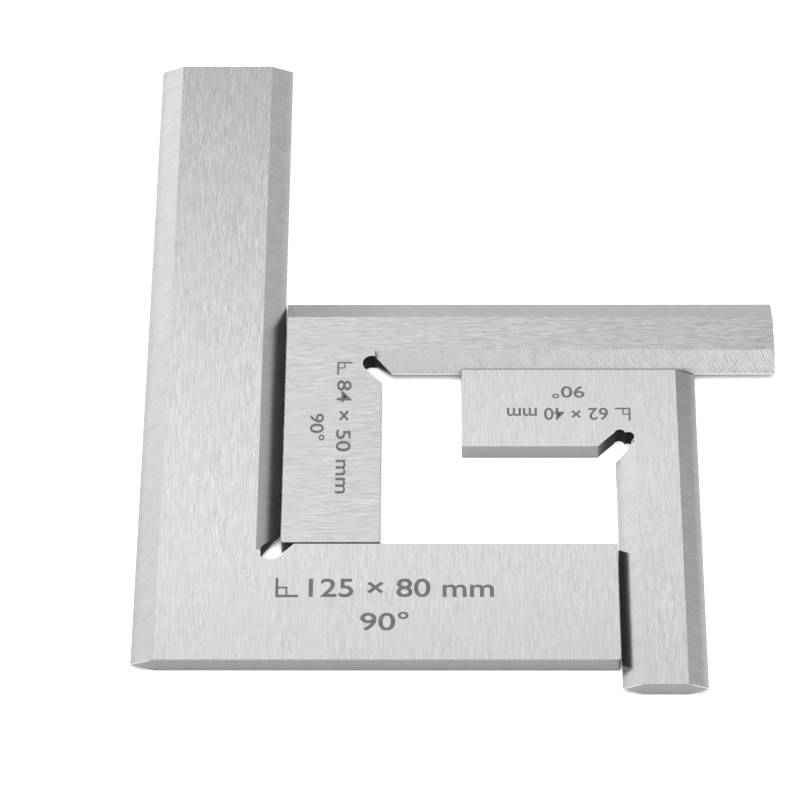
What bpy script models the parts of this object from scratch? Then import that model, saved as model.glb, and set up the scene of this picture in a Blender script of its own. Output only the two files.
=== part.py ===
"""A nested set of three bevelled steel squares, as a toolmaker uses to check right angles.

Metres, +Z up. The squares lie flat on z = 0, one inside the next, with the largest one's long leg
along +Y. The origin is the middle of the set's footprint, on the surface that it lies on.

Each square is modelled in its own frame: outer corner at the origin, long leg (the blade) along
+Y, short leg (the base) along +X, underside on z = 0. It is then turned and moved to its place.
"""

import math
from dataclasses import dataclass

import bmesh
import bpy
from mathutils import Matrix, Vector

# --- What the three squares share -------------------------------------------------------------
THICKNESS = 0.0036  # of every leg, so the top faces lie flush
KNIFE_LAND = 0.00024  # width left along a knife edge, where its two bevels stop short of meeting
BEVEL_RUN_ON = 0.0012  # how far the inner bevels run on past the base's inner side
RUN_ON_LEAN = 0.5  # the face that ends an inner bevel leans this far back per unit of depth
EDGE_BREAK = 0.00009  # how wide the long edges are dulled
CORNER_ROUND = 0.00045  # radius of the corner between the base's end and its outer side
CORNER_STEP = math.radians(18)  # each facet of that corner turns this far
NEST_GAP = 0.00025  # between squares that lie against each other
CUT_MARGIN = 0.001  # how far a cutter reaches outside the steel
ARC_STEP = math.radians(10)  # each facet of a round cut turns this far
WELD_DISTANCE = 0.00002  # corners nearer than this become one
SHARP_ANGLE = math.radians(20)  # edges that turn less than this are shaded smooth
DULLED_ANGLE = math.radians(40)  # edges that turn more than this are dulled
DULLED_LENGTH = 0.001  # edges shorter than this stay as the cutter left them

STEEL_COLOUR = (0.62, 0.62, 0.615, 1.0)
STEEL_ROUGHNESS = 0.34


# --- The squares ------------------------------------------------------------------------------
@dataclass(frozen=True)
class RoundCut:
    """A round cut into the inner corner, placed from where the two inner sides would meet."""

    radius: float
    depth: float  # of its centre, along the line from that point to the outer corner
    aside: float = 0.0  # of its centre from that line, towards the base


@dataclass(frozen=True)
class Square:
    name: str
    blade_length: float  # outer corner to blade end
    base_length: float  # outer corner to base end
    blade_width: float  # knife edge to knife edge
    base_width: float  # outer side to inner side
    bevel_width: float  # knife edge to flat face, on each side and each face
    slot: RoundCut  # the round end of the corner relief, which opens to the inner corner
    pass_marks: tuple[RoundCut, ...] = ()  # where further passes of the cutter bit deeper


LARGE = Square(
    name="large_square",
    blade_length=0.125,
    base_length=0.080,
    blade_width=0.02385,
    base_width=0.0223,
    bevel_width=0.00385,
    slot=RoundCut(radius=0.00182, depth=0.0018, aside=-0.0001),
    pass_marks=(RoundCut(radius=0.0007, depth=0.0032, aside=-0.0002),),
)
MIDDLE = Square(
    name="middle_square",
    blade_length=0.084,
    base_length=0.050,
    blade_width=0.0148,
    base_width=0.0165,
    bevel_width=0.0039,
    slot=RoundCut(radius=0.0016, depth=0.0020, aside=0.00045),
)
SMALL = Square(
    name="small_square",
    blade_length=0.062,
    base_length=0.040,
    blade_width=0.0140,
    base_width=0.0158,
    bevel_width=0.0034,
    slot=RoundCut(radius=0.0019, depth=0.0013, aside=0.0002),
    pass_marks=(
        RoundCut(radius=0.0010, depth=0.00225, aside=0.00115),
        RoundCut(radius=0.00093, depth=0.0030, aside=-0.0002),
    ),
)


def nest_places():
    """Each square with the place of its outer corner and its turn, in the large square's frame."""
    middle_x = LARGE.blade_width + NEST_GAP
    middle_y = LARGE.base_width + NEST_GAP + MIDDLE.base_length
    beside_large = LARGE.base_length + NEST_GAP + SMALL.blade_width
    beside_middle = middle_x + MIDDLE.base_width + NEST_GAP + SMALL.base_length
    small_x = max(beside_large, beside_middle)
    small_y = middle_y - MIDDLE.blade_width - NEST_GAP
    return [
        (LARGE, Vector((0.0, 0.0, 0.0)), 0.0),
        (MIDDLE, Vector((middle_x, middle_y, 0.0)), math.radians(-90)),
        (SMALL, Vector((small_x, small_y, 0.0)), math.radians(180)),
    ]


def footprint_middle(places):
    """The middle of the rectangle that the whole set covers."""
    ends = [
        place + Matrix.Rotation(turn, 3, "Z") @ Vector(end)
        for square, place, turn in places
        for end in ((0, 0, 0), (square.base_length, 0, 0), (0, square.blade_length, 0))
    ]
    low_x, high_x = min(e.x for e in ends), max(e.x for e in ends)
    low_y, high_y = min(e.y for e in ends), max(e.y for e in ends)
    return Vector(((low_x + high_x) / 2, (low_y + high_y) / 2, 0.0))


# --- Shapes -----------------------------------------------------------------------------------
def prism(name, near_end, far_end):
    """A solid between two outlines of the same number of corners."""
    bm = bmesh.new()
    near = [bm.verts.new(corner) for corner in near_end]
    far = [bm.verts.new(corner) for corner in far_end]
    bm.faces.new(near)
    bm.faces.new(far)
    for i in range(len(near)):
        j = (i + 1) % len(near)
        bm.faces.new((near[i], near[j], far[j], far[i]))
    bmesh.ops.recalc_face_normals(bm, faces=bm.faces)
    mesh = bpy.data.meshes.new(name)
    bm.to_mesh(mesh)
    bm.free()
    piece = bpy.data.objects.new(name, mesh)
    bpy.context.scene.collection.objects.link(piece)
    return piece


def plate(name, outline, bottom, top):
    """A flat outline made solid from one height to another."""
    return prism(name, [(x, y, bottom) for x, y in outline], [(x, y, top) for x, y in outline])


def blank(square):
    """The L before any grinding."""
    steps = round(math.pi / 2 / CORNER_STEP)
    turns = [-math.pi / 2 * i / steps for i in range(steps, -1, -1)]
    corner = [
        (
            square.base_length + CORNER_ROUND * (math.cos(turn) - 1),
            CORNER_ROUND * (math.sin(turn) + 1),
        )
        for turn in turns
    ]
    outline = [
        (0.0, 0.0),
        *corner,
        (square.base_length, square.base_width),
        (square.blade_width, square.base_width),
        (square.blade_width, square.blade_length),
        (0.0, square.blade_length),
    ]
    return plate(square.name, outline, 0.0, THICKNESS)


def bevel_cutter(square, inner, underside):
    """The wedge that a bevel removes, along one knife edge and on one face of the blade."""
    edge = square.blade_width if inner else 0.0
    inward = -1 if inner else 1
    knife = (THICKNESS + KNIFE_LAND) / 2
    slope = (THICKNESS - knife) / square.bevel_width
    outside = edge - inward * CUT_MARGIN
    inside = edge + inward * (square.bevel_width + CUT_MARGIN)
    clear = THICKNESS + slope * CUT_MARGIN
    section = [(outside, knife - slope * CUT_MARGIN), (inside, clear), (outside, clear)]
    start = square.base_width - BEVEL_RUN_ON if inner else -CUT_MARGIN
    lean = RUN_ON_LEAN if inner else 0.0
    near = [Vector((x, start + lean * (THICKNESS - z), z)) for x, z in section]
    far = [Vector((x, square.blade_length + CUT_MARGIN, z)) for x, z in section]
    if underside:
        for corner in near + far:
            corner.z = THICKNESS - corner.z
    return prism("bevel_cutter", near, far)


def relief_point(square, depth, aside):
    """A point of the corner relief, in the square's own frame."""
    along = Vector((-1, -1)).normalized()
    across = Vector((1, -1)).normalized()
    return Vector((square.blade_width, square.base_width)) + along * depth + across * aside


def round_cut_cutter(square, cut, opens):
    """A round cut through the steel. One that opens runs out to the square's inner corner."""
    first, last = (0.0, math.pi) if opens else (0.0, 2 * math.pi)
    steps = math.ceil((last - first) / ARC_STEP)
    angles = [first + (last - first) * i / steps for i in range(steps + (1 if opens else 0))]
    outline = [
        relief_point(
            square,
            cut.depth + cut.radius * math.sin(angle),
            cut.aside + cut.radius * math.cos(angle),
        )
        for angle in angles
    ]
    if opens:
        mouth = -2 * cut.radius - abs(cut.aside)
        outline.append(relief_point(square, mouth, cut.aside - cut.radius))
        outline.append(relief_point(square, mouth, cut.aside + cut.radius))
    return plate("relief_cutter", outline, -CUT_MARGIN, THICKNESS + CUT_MARGIN)


# --- Making a square --------------------------------------------------------------------------
def cut_away(piece, cutters):
    """Takes the cutters out of the piece, and removes them."""
    for cutter in cutters:
        boolean = piece.modifiers.new("cut", "BOOLEAN")
        boolean.operation = "DIFFERENCE"
        boolean.solver = "EXACT"
        boolean.object = cutter
    depsgraph = bpy.context.evaluated_depsgraph_get()
    result = bpy.data.meshes.new_from_object(piece.evaluated_get(depsgraph))
    result.name = piece.name
    blank_mesh = piece.data
    piece.modifiers.clear()
    piece.data = result
    bpy.data.meshes.remove(blank_mesh)
    for cutter in cutters:
        bpy.data.meshes.remove(cutter.data)


def dull_edges(mesh):
    """Puts a small round on each long outward edge, as a stone leaves it."""
    bm = bmesh.new()
    bm.from_mesh(mesh)
    bmesh.ops.remove_doubles(bm, verts=bm.verts, dist=WELD_DISTANCE)
    sharp = [
        edge
        for edge in bm.edges
        if edge.calc_face_angle_signed() > DULLED_ANGLE and edge.calc_length() > DULLED_LENGTH
    ]
    bmesh.ops.bevel(
        bm,
        geom=sharp,
        offset=EDGE_BREAK,
        offset_type="OFFSET",
        segments=2,
        profile=0.5,
        affect="EDGES",
        clamp_overlap=False,
    )
    bm.to_mesh(mesh)
    bm.free()
    mesh.shade_smooth()
    mesh.set_sharp_from_angle(angle=SHARP_ANGLE)


def steel(name):
    material = bpy.data.materials.new(name)
    material.use_nodes = True
    shader = material.node_tree.nodes["Principled BSDF"]
    shader.inputs["Base Color"].default_value = STEEL_COLOUR
    shader.inputs["Metallic"].default_value = 1.0
    shader.inputs["Roughness"].default_value = STEEL_ROUGHNESS
    return material


def make_square(square):
    piece = blank(square)
    cutters = [
        bevel_cutter(square, inner, underside)
        for inner in (False, True)
        for underside in (False, True)
    ]
    cutters.append(round_cut_cutter(square, square.slot, opens=True))
    for mark in square.pass_marks:
        cutters.append(round_cut_cutter(square, mark, opens=False))
    cut_away(piece, cutters)
    dull_edges(piece.data)
    piece.data.materials.append(steel(square.name + "_steel"))
    return piece


def main():
    for old in list(bpy.data.objects):
        bpy.data.objects.remove(old)
    places = nest_places()
    middle = footprint_middle(places)
    nest = bpy.data.objects.new("nest", None)
    bpy.context.scene.collection.objects.link(nest)
    nest.location = -middle
    for square, place, turn in places:
        piece = make_square(square)
        piece.parent = nest
        piece.location = place
        piece.rotation_euler = (0.0, 0.0, turn)


main()
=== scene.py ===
"""The looks of the nested set of bevelled steel squares: finishes, etched marks, light and camera.

Metres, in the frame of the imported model: +Z up, the squares flat on z = 0, blades along X or Y.
Each square also has its own frame, in which its finish is laid out: outer corner at the origin,
blade along +Y, base along +X, underside on z = 0.
"""
import math
from dataclasses import dataclass

import bmesh
import bpy
from mathutils import Matrix, Vector


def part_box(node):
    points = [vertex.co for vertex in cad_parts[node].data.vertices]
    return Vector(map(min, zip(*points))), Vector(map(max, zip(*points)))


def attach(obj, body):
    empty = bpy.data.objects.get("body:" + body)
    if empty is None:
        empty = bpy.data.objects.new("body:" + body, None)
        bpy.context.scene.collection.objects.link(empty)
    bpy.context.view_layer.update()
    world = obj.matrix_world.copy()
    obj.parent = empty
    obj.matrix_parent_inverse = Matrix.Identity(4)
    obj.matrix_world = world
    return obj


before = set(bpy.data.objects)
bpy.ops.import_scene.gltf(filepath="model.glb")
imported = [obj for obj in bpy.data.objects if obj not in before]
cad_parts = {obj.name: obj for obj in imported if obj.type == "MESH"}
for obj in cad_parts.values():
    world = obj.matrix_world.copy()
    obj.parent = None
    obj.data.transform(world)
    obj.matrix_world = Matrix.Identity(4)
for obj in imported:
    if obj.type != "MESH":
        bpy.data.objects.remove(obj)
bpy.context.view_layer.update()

MM = 0.001
UM = 0.000001


# --- What a finish is made of -----------------------------------------------------------------
@dataclass(frozen=True)
class Ramp:
    """A value that goes from one to another as something else goes from start to end."""

    start: float
    end: float
    at_start: float
    at_end: float
    smooth: bool = True


def along_blade(near, far, start, end):
    """Changes evenly with the distance from the base's outer side."""
    return Ramp(start, end, near, far, smooth=False)


@dataclass(frozen=True)
class Streaks:
    """Scratches that all run one way, or clouds, which are wide ones."""

    across: float  # one scratch's width
    along: float  # and its length
    seed: float
    detail: float = 2.0


@dataclass(frozen=True)
class Bevel:
    """What the bevels along one knife edge look like."""

    share: float  # of the steel's tint, with painted light and shade in it
    fade: Ramp  # of that share along the blade: painted light and shade
    edge: float  # how much lighter they get towards the knife edge, a painted highlight; below 0 they get darker instead, painted shade
    roughness: float
    hatch: float  # the way their grinding lines run, from the blade's way
    hatch_strength: Ramp


@dataclass(frozen=True)
class Relief:
    """The round end of the slot in the inner corner."""

    radius: float
    depth: float  # of its centre, in from the inner corner along the diagonal
    aside: float  # of its centre from the diagonal, towards the base


@dataclass(frozen=True)
class Mark:
    """The etched mark."""

    text: tuple  # two lines
    place: tuple  # its middle, in the row's frame, mm
    width: float
    height: float
    turn: float


@dataclass(frozen=True)
class Finish:
    """One square, and what its ground faces look like. Shares are of the steel's tint: partly each
    face's own finish, partly painted light and shade that make each kind of face lighter or darker
    as the light falls on it.
    """

    node: str
    body: str
    turn: float  # from the row's frame to the square's own
    blade_width: float
    base_width: float
    relief: Relief
    tint: tuple
    top: float  # the flat faces' share, set per square as painted light
    # how the flat faces' share changes along the blade: painted light and shade
    top_fade: Ramp
    grain: float  # strength of the flat faces' grain
    outer: Bevel
    inner: Bevel
    inner_lean: float  # how far the inner bevel's shading leans to its knife edge
    close_shade: float  # how much painted shade the next square lays on the inner bevel
    side: float  # the upright faces' share: low, partly for their duller grinding, partly painted shade
    heel: float  # the share of the base's outer side; low where that side faces the next square, painted shade of the gap
    heel_highlight: float  # how much of the painted highlight on the sides' top edges the base's outer side gets
    toe: float  # the share of the base's end; low where that end faces the next square, painted shade of the gap
    seed: float
    mark: Mark


EVEN = along_blade(1.0, 1.0, 20 * MM, 60 * MM)

SQUARES = [
    Finish(
        node="large_square",
        body="large",
        turn=0.0,
        blade_width=23.85 * MM,
        base_width=22.3 * MM,
        relief=Relief(radius=1.82 * MM, depth=1.8 * MM, aside=-0.1 * MM),
        tint=(0.615, 0.603, 0.600),
        top=1.0,
        top_fade=along_blade(0.982, 1.01, 2 * MM, 20 * MM),
        grain=1.0,
        outer=Bevel(
            share=0.99,
            fade=along_blade(0.93, 0.98, 22 * MM, 125 * MM),
            edge=-0.13,
            roughness=0.2,
            hatch=math.radians(-50),
            hatch_strength=along_blade(0.4, 0.3, 22 * MM, 125 * MM),
        ),
        inner=Bevel(
            share=1.0,
            fade=EVEN,
            edge=0.2,
            roughness=0.2,
            hatch=math.radians(80),
            hatch_strength=along_blade(0.6, 0.6, 22 * MM, 125 * MM),
        ),
        inner_lean=0.34,
        close_shade=0.0,
        side=0.31,
        heel=0.35,
        heel_highlight=1.0,
        toe=0.1,
        seed=0.0,
        mark=Mark(
            text=("125 × 80 mm", "90°"),
            place=(-12.6, -49.8),
            width=36.0 * MM,
            height=10.0 * MM,
            turn=0.0,
        ),
    ),
    Finish(
        node="middle_square",
        body="middle",
        turn=math.radians(-90),
        blade_width=14.8 * MM,
        base_width=16.5 * MM,
        relief=Relief(radius=1.6 * MM, depth=2.0 * MM, aside=0.45 * MM),
        tint=(0.615, 0.602, 0.594),
        top=1.105,
        top_fade=along_blade(1.02, 0.915, 10 * MM, 84 * MM),
        grain=1.35,
        outer=Bevel(
            share=0.925,
            fade=along_blade(0.74, 0.97, 6 * MM, 20 * MM),
            edge=-0.03,
            roughness=0.25,
            hatch=math.radians(-65),
            hatch_strength=along_blade(2.6, 0.25, 5 * MM, 13 * MM),
        ),
        inner=Bevel(
            share=1.0,
            fade=along_blade(0.94, 1.05, 16 * MM, 84 * MM),
            edge=-0.07,
            roughness=0.25,
            hatch=math.radians(-65),
            hatch_strength=along_blade(0.45, 1.45, 16 * MM, 84 * MM),
        ),
        inner_lean=0.0,
        close_shade=2.6,
        side=0.31,
        heel=0.1,
        heel_highlight=0.0,
        toe=0.1,
        seed=0.31,
        mark=Mark(
            text=("84 × 50 mm", "90°"),
            place=(-22.1, -14.6),
            width=27.0 * MM,
            height=7.0 * MM,
            turn=math.radians(-90),
        ),
    ),
    Finish(
        node="small_square",
        body="small",
        turn=math.radians(180),
        blade_width=14.0 * MM,
        base_width=15.8 * MM,
        relief=Relief(radius=1.9 * MM, depth=1.3 * MM, aside=0.2 * MM),
        tint=(0.615, 0.600, 0.593),
        top=1.04,
        top_fade=along_blade(1.0, 0.95, 20 * MM, 50 * MM),
        grain=0.9,
        outer=Bevel(
            share=0.91,
            fade=along_blade(0.84, 0.98, 2 * MM, 22 * MM),
            edge=0.5,
            roughness=0.25,
            hatch=math.radians(87),
            hatch_strength=along_blade(0.6, 0.6, 16 * MM, 62 * MM),
        ),
        inner=Bevel(
            share=1.23,
            fade=EVEN,
            edge=-0.17,
            roughness=0.14,
            hatch=math.radians(-35),
            hatch_strength=along_blade(0.4, 0.3, 16 * MM, 62 * MM),
        ),
        inner_lean=0.185,
        close_shade=0.0,
        side=0.38,
        heel=0.1,
        heel_highlight=0.0,
        toe=0.3,
        seed=0.67,
        mark=Mark(
            text=("62 × 40 mm", "90°"),
            place=(18.4, -9.7),
            width=21.0 * MM,
            height=7.0 * MM,
            turn=math.radians(180),
        ),
    ),
]


def outer_corner(finish):
    """Where the square's own frame has its origin, in the row's frame."""
    low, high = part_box(finish.node)
    towards = Matrix.Rotation(finish.turn, 3, "Z") @ Vector((-1, -1, 0))
    half = (high - low) / 2
    middle = (high + low) / 2
    return Vector((middle.x + towards.x * half.x, middle.y + towards.y * half.y, low.z))


# --- Nodes ------------------------------------------------------------------------------------
class Tree:
    """Adds nodes to a material or the world, a line or two at a time."""

    def __init__(self, owner):
        owner.use_nodes = True
        self.tree = owner.node_tree
        self.tree.nodes.clear()

    def add(self, kind, inputs=None, **settings):
        node = self.tree.nodes.new("ShaderNode" + kind)
        for key, value in settings.items():
            setattr(node, key, value)
        for key, value in (inputs or {}).items():
            self.feed(node.inputs[key], value)
        return node

    def feed(self, socket, value):
        if isinstance(value, bpy.types.NodeSocket):
            self.tree.links.new(value, socket)
        else:
            socket.default_value = value

    def math(self, operation, *values, clamp=False):
        node = self.add("Math", operation=operation, use_clamp=clamp)
        for socket, value in zip(node.inputs, values):
            self.feed(socket, value)
        return node.outputs[0]

    def vector(self, operation, *values, out=0):
        node = self.add("VectorMath", operation=operation)
        for socket, value in zip(node.inputs, values):
            self.feed(socket, value)
        return node.outputs[out]

    def scaled(self, vector, scale):
        return self.add("VectorMath", {0: vector, "Scale": scale}, operation="SCALE").outputs[0]

    def dot(self, vector, other):
        return self.vector("DOT_PRODUCT", vector, other, out=1)

    def times(self, *values):
        result = values[0]
        for value in values[1:]:
            result = self.math("MULTIPLY", result, value)
        return result

    def weighted(self, pairs):
        """The sum of value times weight, over the pairs."""
        result = 0.0
        for value, weight in pairs:
            result = self.math("MULTIPLY_ADD", value, weight, result)
        return result

    def total(self, values):
        result = values[0]
        for value in values[1:]:
            result = self.math("ADD", result, value)
        return result

    def ramp(self, value, ramp):
        return self.add(
            "MapRange",
            {0: value, 1: ramp.start, 2: ramp.end, 3: ramp.at_start, 4: ramp.at_end},
            interpolation_type="SMOOTHSTEP" if ramp.smooth else "LINEAR",
        ).outputs[0]

    def split(self, vector):
        return self.add("SeparateXYZ", {0: vector}).outputs


NOISE_ROUGHNESS = 0.6
WAVE_PERIOD = math.tau / 20  # of Blender's wave texture at scale 1
LINE_WANDER = 1.2
LINE_WANDER_DETAIL = 2.0
LINE_WANDER_SCALE = 0.12


def draw_streaks(tree, place, way, streaks, seed=0.0):
    """Scratches that all run one way, from -1 to 1."""
    seed = seed + streaks.seed
    turned = tree.add(
        "Mapping",
        {"Vector": place, "Rotation": (0.0, 0.0, -way), "Location": (seed, seed, 0.0)},
    ).outputs[0]
    along = 1 / streaks.along
    drawn = tree.vector("MULTIPLY", turned, (1 / streaks.across, along, along))
    noise = tree.add(
        "TexNoise",
        {"Vector": drawn, "Scale": 1.0, "Detail": streaks.detail, "Roughness": NOISE_ROUGHNESS},
    ).outputs[0]
    return tree.math("MULTIPLY_ADD", noise, 2.0, -1.0)


def draw_lines(tree, place, way, pitch):
    """Grinding lines side by side, from -1 to 1, which wander a little."""
    turned = tree.add("Mapping", {"Vector": place, "Rotation": (0.0, 0.0, -way)}).outputs[0]
    wave = tree.add(
        "TexWave",
        {
            "Vector": turned,
            "Scale": WAVE_PERIOD / pitch,
            "Distortion": LINE_WANDER,
            "Detail": LINE_WANDER_DETAIL,
            "Detail Scale": LINE_WANDER_SCALE,
        },
        wave_type="BANDS",
        bands_direction="X",
        wave_profile="SIN",
    ).outputs[1]
    return tree.math("MULTIPLY_ADD", wave, 2.0, -1.0)


# --- Steel: which face a point lies on --------------------------------------------------------
FLAT_ABOVE = 0.97  # a face is flat when its normal's upright share is above this
STEEP_BELOW = 0.7  # and a side when it is below this; between the two it is a bevel
PLUMB_BELOW = 0.2  # a side is plumb below this; the faces that end the inner bevels lean more
ALONG_AXIS = 0.7  # a side looks along an axis when its normal's share of it is above this
TOE_PAST_BLADE = 2.0 * MM  # the base's end lies at least this far past the blade
RELIEF_NEAR = 1.0 * MM  # the corner relief's walls lie within this of its outline
RELIEF_BEHIND = -0.02 * MM  # and at least this far behind one of the inner sides
RELIEF_DARK = Ramp(0.8 * MM, 4.8 * MM, 0.92, 0.35)  # dark scale and painted shade on the relief's walls, deepest at its round end, by the way out from it
RIM = Ramp(0.05 * MM, 0.35 * MM, 1.0, 0.0)  # painted highlight on the flat faces round the relief, by the distance from it
TOP_HIGHLIGHT_FULL = 0.1 * MM  # a side's top edge has its full painted highlight down to this far below the top face
TOP_HIGHLIGHT_FADED = 0.5 * MM  # and none of it from here down


def own_frame(tree, finish):
    """A point's place and its face's normal, both in the square's own frame."""
    turn_back = (0.0, 0.0, -finish.turn)
    corner = Matrix.Rotation(-finish.turn, 3, "Z") @ outer_corner(finish)
    place = tree.add(
        "Mapping",
        {
            "Vector": tree.add("TexCoord").outputs["Object"],
            "Rotation": turn_back,
            "Location": -corner,
        },
    ).outputs[0]
    normal = tree.add(
        "Mapping",
        {"Vector": tree.add("NewGeometry").outputs["True Normal"], "Rotation": turn_back},
        vector_type="VECTOR",
    ).outputs[0]
    return place, normal


def from_relief(tree, finish, place):
    """How far a point is from the relief, and how far out along it towards the corner."""
    inward = Vector((-1, -1, 0)).normalized()
    basewards = Vector((1, -1, 0)).normalized()
    corner = Vector((finish.blade_width, finish.base_width, 0))
    relief = finish.relief
    middle = corner + inward * relief.depth + basewards * relief.aside
    away = tree.vector("MULTIPLY", tree.vector("SUBTRACT", place, middle), (1, 1, 0))
    outward = tree.math("MAXIMUM", tree.dot(away, -inward), 0.0)
    beside = tree.vector("SUBTRACT", away, tree.scaled(-inward, outward))
    off_axis = tree.vector("LENGTH", beside, out=1)
    return tree.math("SUBTRACT", off_axis, relief.radius), outward


class Zones:
    """How far a point belongs to each kind of face. Most are 0 or 1."""

    def __init__(self, tree, finish, place, normal):
        x, y, z = tree.split(place)
        across, along, up = tree.split(normal)
        upright = tree.math("ABSOLUTE", up)
        self.top = tree.math("GREATER_THAN", upright, FLAT_ABOVE)
        self.side = tree.math("LESS_THAN", upright, STEEP_BELOW)
        self.bevel = tree.math("SUBTRACT", tree.math("SUBTRACT", 1.0, self.top), self.side)
        self.inner = tree.times(self.bevel, tree.math("GREATER_THAN", across, 0.0))
        self.outer = tree.math("SUBTRACT", self.bevel, self.inner)
        self.heel = tree.times(self.side, tree.math("LESS_THAN", along, -ALONG_AXIS))
        self.toe = tree.times(
            self.side,
            tree.math("GREATER_THAN", across, ALONG_AXIS),
            tree.math("GREATER_THAN", x, finish.blade_width + TOE_PAST_BLADE),
        )
        plumb = tree.times(self.side, tree.math("LESS_THAN", upright, PLUMB_BELOW))
        self.bevel_end = tree.math("SUBTRACT", self.side, plumb)

        off_relief, outward = from_relief(tree, finish, place)
        behind = tree.math(
            "MINIMUM",
            tree.math("SUBTRACT", x, finish.blade_width),
            tree.math("SUBTRACT", y, finish.base_width),
        )
        # the relief's walls, darkened: dark scale, and painted shade deepest at the round end
        self.relief = tree.times(
            plumb,
            tree.math("LESS_THAN", off_relief, RELIEF_NEAR),
            tree.math("LESS_THAN", behind, RELIEF_BEHIND),
            tree.ramp(outward, RELIEF_DARK),
        )
        # where the painted highlight round the relief lies
        self.rim = tree.times(tree.ramp(off_relief, RIM), self.top)

        low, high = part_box(finish.node)
        thickness = high.z - low.z
        # the sides' top edges, which get a painted highlight; the base's outer side gets only its
        # set part of it
        near_top = Ramp(thickness - TOP_HIGHLIGHT_FADED, thickness - TOP_HIGHLIGHT_FULL, 0.0, 1.0)
        edge_highlight = tree.math("MULTIPLY_ADD", self.heel, finish.heel_highlight - 1.0, 1.0)
        self.top_highlight = tree.times(tree.ramp(z, near_top), self.side, edge_highlight)


# --- Steel: what the grinding left, and the painted light and shade ---------------------------
GRAIN_FINE = Streaks(across=0.18 * MM, along=2.3 * MM, seed=0.0, detail=3.0)
GRAIN_LONG = Streaks(across=0.34 * MM, along=5.0 * MM, seed=0.1)
GRAIN_LONG_WAY = 0.02
CLOUDS = Streaks(across=7.0 * MM, along=11.0 * MM, seed=0.2, detail=3.0)
OUTER_FINE = Streaks(across=0.12 * MM, along=2.5 * MM, seed=0.3)
INNER_FINE = Streaks(across=0.12 * MM, along=2.5 * MM, seed=0.4)
MOTTLE = Streaks(across=1.6 * MM, along=3.5 * MM, seed=0.5, detail=3.0)
OUTER_PITCH = 0.44 * MM
INNER_PITCH = 0.45 * MM

GRAIN_FINE_WEIGHT = 0.44
GRAIN_LONG_WEIGHT = 0.16
CLOUDS_WEIGHT = 0.03
CLOUDS_IN_GRAIN = 0.9  # how much the clouds thin the grain out
GRAIN_DENSITY = Ramp(5 * MM, 55 * MM, 0.65, 1.0)  # by the distance from the base's outer side
LINES_WEIGHT = 0.12
FINE_WEIGHT = 0.4
OUTER_FINE_MOST = 0.6  # the outer bevel's fine scratches get no stronger than this
MOTTLE_WEIGHT = 0.12
SIDE_WEIGHT = 0.1
RIM_WEIGHT = 0.14
KNIFE_BAND = Ramp(0.0, 1.2 * MM, 1.0, 0.0, smooth=False)  # by the distance from the knife edge, where the bevels' painted highlight and shade lie

BEVEL_END_SHARE = 1.5  # of the tint, on the faces that end the inner bevels: painted light, lifting these small faces to the brightness of the bevels beside them
TOP_HIGHLIGHT_SHARE = 0.75  # of the tint, in the painted highlight on the sides' top edges
TOP_HIGHLIGHT_WEIGHT = 0.7
CLOSE_BY = 1.3 * MM  # how near the next square has to be to paint shade on a bevel
CLOSE_SAMPLES = 16

TOP_ROUGHNESS = 0.26
SIDE_ROUGHNESS = 0.4
GRAIN_ROUGHNESS = 0.03
CLOUDS_ROUGHNESS = 0.02
RELIEF_ROUGHNESS = 0.3
TOP_EDGE_ROUGHNESS = 0.4
ANISOTROPY = 0.8

GRAIN_DEPTH = 1.2 * UM
FINE_DEPTH = 2.0 * UM


class Grinding:
    """The grinding's patterns, each from about -1 to 1, and the bevels' strengths."""

    def __init__(self, tree, finish, place, y):
        def streaks(way, kind):
            return draw_streaks(tree, place, way, kind, finish.seed)

        self.grain_fine = streaks(0.0, GRAIN_FINE)
        self.grain_long = streaks(GRAIN_LONG_WAY, GRAIN_LONG)
        self.clouds = streaks(0.0, CLOUDS)
        self.mottle = streaks(finish.outer.hatch, MOTTLE)
        self.outer_lines = draw_lines(tree, place, finish.outer.hatch, OUTER_PITCH)
        self.inner_lines = draw_lines(tree, place, finish.inner.hatch, INNER_PITCH)
        self.outer_fine = streaks(finish.outer.hatch, OUTER_FINE)
        self.inner_fine = streaks(finish.inner.hatch, INNER_FINE)
        self.outer_strength = tree.ramp(y, finish.outer.hatch_strength)
        self.inner_strength = tree.ramp(y, finish.inner.hatch_strength)


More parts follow.
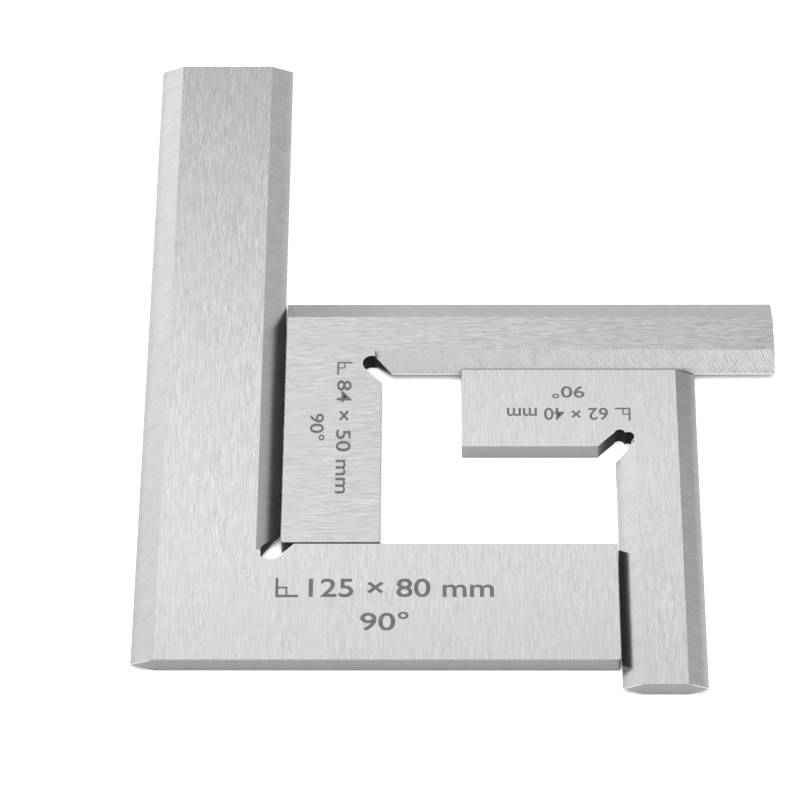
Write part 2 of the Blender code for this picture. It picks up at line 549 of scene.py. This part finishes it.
def grinding_pattern(tree, finish, zones, grinding, x, y):
    """How much lighter or darker than its zone a point is: the grinding's grain and lines, and
    painted highlights and shade at the knife edges and round the relief.
    """
    density = tree.ramp(y, GRAIN_DENSITY)
    density = tree.math("MULTIPLY_ADD", grinding.clouds, CLOUDS_IN_GRAIN, density)
    grain = tree.weighted(
        [
            (grinding.grain_fine, GRAIN_FINE_WEIGHT * finish.grain),
            (grinding.grain_long, GRAIN_LONG_WEIGHT * finish.grain),
        ]
    )
    grain = tree.math("MULTIPLY_ADD", grain, density, tree.times(grinding.clouds, CLOUDS_WEIGHT))
    fine_strength = tree.math("MINIMUM", grinding.outer_strength, OUTER_FINE_MOST)
    outer = tree.weighted(
        [
            (tree.times(grinding.outer_lines, grinding.outer_strength), LINES_WEIGHT),
            (tree.times(grinding.outer_fine, fine_strength), FINE_WEIGHT),
        ]
    )
    inner = tree.weighted(
        [(grinding.inner_lines, LINES_WEIGHT), (grinding.inner_fine, FINE_WEIGHT)]
    )
    inner = tree.times(inner, grinding.inner_strength)
    to_knife = tree.math(
        "MINIMUM",
        tree.math("ABSOLUTE", x),
        tree.math("ABSOLUTE", tree.math("SUBTRACT", x, finish.blade_width)),
    )
    band = tree.weighted([(zones.outer, finish.outer.edge), (zones.inner, finish.inner.edge)])
    return tree.weighted(
        [
            (zones.top, grain),
            (zones.outer, outer),
            (zones.inner, inner),
            (tree.times(grinding.mottle, zones.bevel), MOTTLE_WEIGHT),
            (tree.times(zones.side, grinding.grain_long), SIDE_WEIGHT),
            # towards the knife edges: painted highlight where a bevel's edge is above 0, painted
            # shade where below
            (tree.ramp(to_knife, KNIFE_BAND), band),
            # painted highlight round the relief
            (zones.rim, RIM_WEIGHT),
        ]
    )


def painted_occlusion(tree, finish, zones):
    """Painted shade from ambient occlusion: below 1 where the next square stands close to the
    inner bevel.
    """
    open_share = tree.add(
        "AmbientOcclusion", {"Distance": CLOSE_BY}, samples=CLOSE_SAMPLES
    ).outputs["AO"]
    closeness = tree.times(tree.math("SUBTRACT", 1.0, open_share), zones.inner)
    closeness = tree.math("MULTIPLY", closeness, finish.close_shade, clamp=True)
    return tree.math("SUBTRACT", 1.0, closeness)


def steel_shade(tree, finish, zones, pattern, y):
    """The share of the tint that a point has, with the painted light and shade: the faces' shares
    and fades, the highlight on the sides' top edges, and the shade in the relief and by the next
    square.
    """
    shade = tree.weighted(
        [
            (tree.times(zones.top, tree.ramp(y, finish.top_fade)), finish.top),
            (tree.times(zones.outer, tree.ramp(y, finish.outer.fade)), finish.outer.share),
            (tree.times(zones.inner, tree.ramp(y, finish.inner.fade)), finish.inner.share),
            (zones.side, finish.side),
            (zones.heel, finish.heel - finish.side),
            (zones.toe, finish.toe - finish.side),
            (zones.bevel_end, BEVEL_END_SHARE - finish.side),
        ]
    )
    # a painted highlight along the sides' top edges
    highlight = tree.times(zones.top_highlight, tree.math("SUBTRACT", TOP_HIGHLIGHT_SHARE, shade))
    shade = tree.math("MULTIPLY_ADD", highlight, TOP_HIGHLIGHT_WEIGHT, shade)
    return tree.times(
        shade,
        tree.math("ADD", 1.0, pattern),
        tree.math("SUBTRACT", 1.0, zones.relief),
        painted_occlusion(tree, finish, zones),
    )


def steel_bump(tree, finish, zones, grinding, across):
    """The normal, with the grinding's relief and the inner bevel's lean."""
    outer = tree.times(zones.outer, grinding.outer_strength)
    inner = tree.times(zones.inner, grinding.inner_strength)
    height = tree.weighted(
        [
            (tree.times(zones.top, grinding.grain_fine), GRAIN_DEPTH),
            (tree.times(zones.top, grinding.grain_long), GRAIN_DEPTH),
            (tree.times(outer, grinding.outer_lines), GRAIN_DEPTH),
            (tree.times(inner, grinding.inner_lines), GRAIN_DEPTH),
            (tree.times(outer, grinding.outer_fine), FINE_DEPTH),
            (tree.times(inner, grinding.inner_fine), FINE_DEPTH),
            (tree.times(zones.side, grinding.grain_long), FINE_DEPTH),
        ]
    )
    lean = tree.scaled(across, tree.times(zones.inner, finish.inner_lean))
    upright = tree.add("NewGeometry").outputs["Normal"]
    leaning = tree.vector("NORMALIZE", tree.vector("ADD", upright, lean))
    return tree.add(
        "Bump", {"Height": height, "Strength": 1.0, "Distance": 1.0, "Normal": leaning}
    ).outputs[0]


def ground_steel(finish):
    """The steel of one square: its zones, the grinding that each one shows, and the light and
    shade painted on them.
    """
    material = bpy.data.materials.new(finish.node + "_ground")
    tree = Tree(material)
    place, normal = own_frame(tree, finish)
    x, y = tree.split(place)[:2]
    zones = Zones(tree, finish, place, normal)
    grinding = Grinding(tree, finish, place, y)
    pattern = grinding_pattern(tree, finish, zones, grinding, x, y)
    shade = steel_shade(tree, finish, zones, pattern, y)
    roughness = tree.weighted(
        [
            (zones.top, TOP_ROUGHNESS),
            (zones.outer, finish.outer.roughness),
            (zones.inner, finish.inner.roughness),
            (zones.side, SIDE_ROUGHNESS),
            (grinding.grain_long, GRAIN_ROUGHNESS),
            (grinding.clouds, CLOUDS_ROUGHNESS),
            (zones.relief, RELIEF_ROUGHNESS),
            (zones.top_highlight, TOP_EDGE_ROUGHNESS),
        ]
    )
    across = tuple(Matrix.Rotation(finish.turn, 3, "Z") @ Vector((1, 0, 0)))
    shader = tree.add(
        "BsdfPrincipled",
        {
            "Base Color": tree.vector("MULTIPLY", shade, finish.tint),
            "Metallic": 1.0,
            "Roughness": roughness,
            "Anisotropic": ANISOTROPY,
            "Tangent": tree.add("CombineXYZ", {0: across[0], 1: across[1]}).outputs[0],
            "Normal": steel_bump(tree, finish, zones, grinding, across),
        },
    )
    tree.add("OutputMaterial", {"Surface": shader.outputs[0]})
    return material


# --- Etched marks -----------------------------------------------------------------------------
MARK_PROUD = 0.012 * MM  # above the steel, so that it shows
MARK_DEPTH = 0.05 * MM
LETTER_BOLDNESS = 0.012  # how much wider the font's strokes are made
CURVE_STEPS = 6

# a line's height is a share of the mark's; the others, unless they say more, of the line's
LINE_HEIGHT = 0.36
STROKE = 0.13
SIGN = 1.05  # the right-angle sign's width and height
SIGN_GAP = 0.45  # between the sign and the text, as a share of the sign
SIGN_SQUARE = (0.4, 0.45)  # the small square in its corner, as shares of the sign
SIGN_SQUARE_STROKE = 0.7  # as a share of the stroke
ANGLE_WIDTH = 2.2  # of the second line

ETCHED_COLOUR = (0.14, 0.139, 0.137)
ETCHED_SPECKS = Streaks(across=0.16 * MM, along=0.3 * MM, seed=0.4, detail=3.0)
ETCHED_CLOUDS = Streaks(across=1.5 * MM, along=1.5 * MM, seed=0.2)
ETCHED_SPECKS_WEIGHT = 0.5
ETCHED_CLOUDS_WEIGHT = 0.35
ETCHED_METALLIC = 0.6
ETCHED_ROUGHNESS = 0.55
ETCHED_SPECKS_ROUGHNESS = 0.1
ETCHED_DEPTH = 2.0 * UM


def etched():
    """The grey that etching leaves: dull, uneven, with steel showing through in specks."""
    material = bpy.data.materials.new("etched_grey")
    tree = Tree(material)
    place = tree.add("TexCoord").outputs["Object"]
    specks = draw_streaks(tree, place, 0.0, ETCHED_SPECKS)
    clouds = draw_streaks(tree, place, 0.0, ETCHED_CLOUDS)
    shade = tree.weighted([(specks, ETCHED_SPECKS_WEIGHT), (clouds, ETCHED_CLOUDS_WEIGHT)])
    shade = tree.math("ADD", 1.0, shade)
    roughness = tree.math("MULTIPLY_ADD", specks, ETCHED_SPECKS_ROUGHNESS, ETCHED_ROUGHNESS)
    height = tree.times(specks, ETCHED_DEPTH)
    bump = tree.add("Bump", {"Height": height, "Strength": 1.0, "Distance": 1.0}).outputs[0]
    shader = tree.add(
        "BsdfPrincipled",
        {
            "Base Color": tree.vector("MULTIPLY", shade, ETCHED_COLOUR),
            "Metallic": ETCHED_METALLIC,
            "Roughness": roughness,
            "Normal": bump,
        },
    )
    tree.add("OutputMaterial", {"Surface": shader.outputs[0]})
    return material


def line_of_text(text):
    """The text as a mesh, MARK_DEPTH deep, in the font's own units across."""
    curve = bpy.data.curves.new("line", "FONT")
    curve.body = text
    curve.extrude = MARK_DEPTH / 2
    curve.offset = LETTER_BOLDNESS
    curve.resolution_u = CURVE_STEPS
    holder = bpy.data.objects.new("line", curve)
    bpy.context.scene.collection.objects.link(holder)
    depsgraph = bpy.context.evaluated_depsgraph_get()
    mesh = bpy.data.meshes.new_from_object(holder.evaluated_get(depsgraph))
    bpy.data.objects.remove(holder)
    bpy.data.curves.remove(curve)
    return mesh


def place_text(bm, mesh, left, bottom, width, height):
    """Adds the text to bm, filling a rectangle."""
    xs = [v.co.x for v in mesh.vertices]
    ys = [v.co.y for v in mesh.vertices]
    wide = width / (max(xs) - min(xs))
    tall = height / (max(ys) - min(ys))
    for v in mesh.vertices:
        v.co.x = left + (v.co.x - min(xs)) * wide
        v.co.y = bottom + (v.co.y - min(ys)) * tall
    bm.from_mesh(mesh)
    bpy.data.meshes.remove(mesh)


def place_bar(bm, left, bottom, width, height):
    """Adds an upright or level stroke to bm, filling a rectangle."""
    for v in bmesh.ops.create_cube(bm, size=1.0)["verts"]:
        v.co.x = left + (v.co.x + 0.5) * width
        v.co.y = bottom + (v.co.y + 0.5) * height
        v.co.z *= MARK_DEPTH


def place_sign(bm, left, bottom, size, stroke):
    """Adds the right-angle sign to bm: two legs, with a small square in their corner."""
    thin = stroke * SIGN_SQUARE_STROKE
    square_width, square_height = (size * share for share in SIGN_SQUARE)
    place_bar(bm, left, bottom, size, stroke)
    place_bar(bm, left, bottom + stroke, stroke, size - stroke)
    place_bar(bm, left + stroke, bottom + square_height, square_width, thin)
    place_bar(
        bm, left + stroke + square_width - thin, bottom + stroke, thin, square_height - stroke
    )


def add_mark(finish, material):
    """A right-angle sign and the two leg lengths, with the angle below."""
    mark = finish.mark
    line_height = mark.height * LINE_HEIGHT
    sign = line_height * SIGN
    left = -mark.width / 2
    bottom = mark.height / 2 - line_height
    text_left = left + sign * (1 + SIGN_GAP)
    angle_width = line_height * ANGLE_WIDTH
    lengths, angle = (line_of_text(text) for text in mark.text)
    bm = bmesh.new()
    place_sign(bm, left, bottom, sign, line_height * STROKE)
    place_text(bm, lengths, text_left, bottom, mark.width / 2 - text_left, line_height)
    place_text(bm, angle, -angle_width / 2, -mark.height / 2, angle_width, line_height)
    mesh = bpy.data.meshes.new(finish.body + "_mark")
    bm.to_mesh(mesh)
    bm.free()
    mesh.materials.append(material)
    piece = bpy.data.objects.new(finish.body + "_mark", mesh)
    bpy.context.scene.collection.objects.link(piece)
    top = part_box(finish.node)[1].z
    x, y = mark.place
    piece.location = (x * MM, y * MM, top + MARK_PROUD - MARK_DEPTH / 2)
    piece.rotation_euler.z = mark.turn
    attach(piece, finish.body)


# --- Floor ------------------------------------------------------------------------------------
FLOOR_REACH = 3.0
FLOOR_BELOW = 0.00005  # under the squares, so that the two don't fight for one height
FLOOR_COLOUR = (0.9, 0.9, 0.9, 1.0)
FLOOR_ROUGHNESS = 0.9
FLOOR_SPECULAR = 0.2


def floor():
    mesh = bpy.data.meshes.new("floor")
    near, far = -FLOOR_REACH, FLOOR_REACH
    corners = [(near, near, 0), (far, near, 0), (far, far, 0), (near, far, 0)]
    mesh.from_pydata(corners, [], [(0, 1, 2, 3)])
    piece = bpy.data.objects.new("floor", mesh)
    bpy.context.scene.collection.objects.link(piece)
    piece.location.z = -FLOOR_BELOW
    material = bpy.data.materials.new("floor_white")
    tree = Tree(material)
    shader = tree.add(
        "BsdfPrincipled",
        {
            "Base Color": FLOOR_COLOUR,
            "Roughness": FLOOR_ROUGHNESS,
            "Specular IOR Level": FLOOR_SPECULAR,
        },
    )
    tree.add("OutputMaterial", {"Surface": shader.outputs[0]})
    mesh.materials.append(material)


# --- Light ------------------------------------------------------------------------------------
ALL_ROUND = 0.735
SIDEWAYS = Ramp(-0.07, 0.12, 0.09, -0.21)  # lighter to the west
SIDEWAYS_ABOVE = Ramp(0.2, 0.45, 0.0, 1.0)  # but not low down
SIDEWAYS_EAST = Ramp(0.3, 0.6, 0.0, 0.6)  # save in the east
OVERHEAD = Ramp(0.86, 0.98, 0.0, 0.30)
OVERHEAD_EAST = Ramp(-0.05, 0.12, 0.9, 2.0)  # lighter to the east
STRIP_AXIS = (0.0, -0.834, 0.552)  # a long strip to the north lies across this
STRIP = Ramp(0.0, 0.145, 0.695, 0.0)
STRIP_EAST = Ramp(-0.2, 0.25, 1.12, 0.88)
DIFFUSER_AXIS = (-0.58, 0.70, 0.42)  # a large diffuser to the north-west
DIFFUSER = Ramp(0.952, 0.992, 0.0, 0.48)
BEHIND_AXIS = (0.0, -0.94, 0.34)  # a light to the south, behind the camera
BEHIND = Ramp(0.82, 0.98, 0.0, 0.8)
GAP_AXIS = (-0.05, 0.73, 0.68)  # a gap in the light, under the strip
GAP = Ramp(0.955, 0.998, 0.0, -0.20)

LAMP_SIZE = 1.2
LAMP_ENERGY = 22.0
LAMP_PLACE = (0.0, -0.3, 1.2)
LAMP_TILT = math.radians(-14)


def studio():
    """Soft light from all round, as from a large diffuser over the squares and another beside."""
    world = bpy.data.worlds.new("studio")
    bpy.context.scene.world = world
    tree = Tree(world)
    way = tree.add("TexCoord").outputs["Generated"]
    parts = tree.split(way)
    east = parts[0]
    height = parts[2]
    reach = tree.math(
        "MAXIMUM", tree.ramp(height, SIDEWAYS_ABOVE), tree.ramp(east, SIDEWAYS_EAST)
    )
    around = tree.math("MULTIPLY_ADD", tree.ramp(east, SIDEWAYS), reach, ALL_ROUND)
    above = tree.times(tree.ramp(height, OVERHEAD), tree.ramp(east, OVERHEAD_EAST))
    off_strip = tree.math("ABSOLUTE", tree.dot(way, STRIP_AXIS))
    strip = tree.times(tree.ramp(off_strip, STRIP), tree.ramp(east, STRIP_EAST))
    diffuser = tree.ramp(tree.dot(way, DIFFUSER_AXIS), DIFFUSER)
    behind = tree.ramp(tree.dot(way, BEHIND_AXIS), BEHIND)
    gap = tree.ramp(tree.dot(way, GAP_AXIS), GAP)
    strength = tree.total([around, above, strip, diffuser, behind, gap])
    # the camera itself sees plain white
    seen = tree.add("LightPath").outputs["Is Camera Ray"]
    strength = tree.math("ADD", tree.times(strength, tree.math("SUBTRACT", 1.0, seen)), seen)
    background = tree.add("Background", {"Color": (1.0, 1.0, 1.0, 1.0), "Strength": strength})
    tree.add("OutputWorld", {"Surface": background.outputs[0]})

    light = bpy.data.lights.new("overhead", "AREA")
    light.shape = "DISK"
    light.size = LAMP_SIZE
    light.energy = LAMP_ENERGY
    lamp = bpy.data.objects.new("overhead", light)
    bpy.context.scene.collection.objects.link(lamp)
    lamp.location = LAMP_PLACE
    lamp.rotation_euler = (LAMP_TILT, 0.0, 0.0)
    lamp.visible_glossy = False
    lamp.visible_camera = False


# --- Camera -----------------------------------------------------------------------------------
AIM = Vector((-10.313, -9.059, 3.6)) * MM
DISTANCE = 618.245 * MM
ELEVATION = math.radians(55.50)
AZIMUTH = math.radians(-1.230)
ROLL = math.radians(-1.050)
LENS = 163.10
SENSOR_WIDTH = 36.0
CLIP = (0.01, 20.0)


def camera():
    data = bpy.data.cameras.new("camera")
    data.lens = LENS
    data.sensor_width = SENSOR_WIDTH
    data.clip_start, data.clip_end = CLIP
    holder = bpy.data.objects.new("camera", data)
    bpy.context.scene.collection.objects.link(holder)
    level = math.cos(ELEVATION)
    ahead = Vector(
        (math.sin(AZIMUTH) * level, math.cos(AZIMUTH) * level, -math.sin(ELEVATION))
    )
    level_right = ahead.cross(Vector((0, 0, 1))).normalized()
    level_up = level_right.cross(ahead)
    right = level_right * math.cos(ROLL) + level_up * math.sin(ROLL)
    up = right.cross(ahead)
    axes = Matrix((right, up, -ahead)).transposed().to_4x4()
    holder.matrix_world = Matrix.Translation(AIM - ahead * DISTANCE) @ axes
    bpy.context.scene.camera = holder


def main():
    for finish in SQUARES:
        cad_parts[finish.node].material_slots[0].material = ground_steel(finish)
    grey = etched()
    for finish in SQUARES:
        add_mark(finish, grey)
    floor()
    studio()
    camera()
    bpy.context.scene.view_settings.view_transform = "Standard"


main()
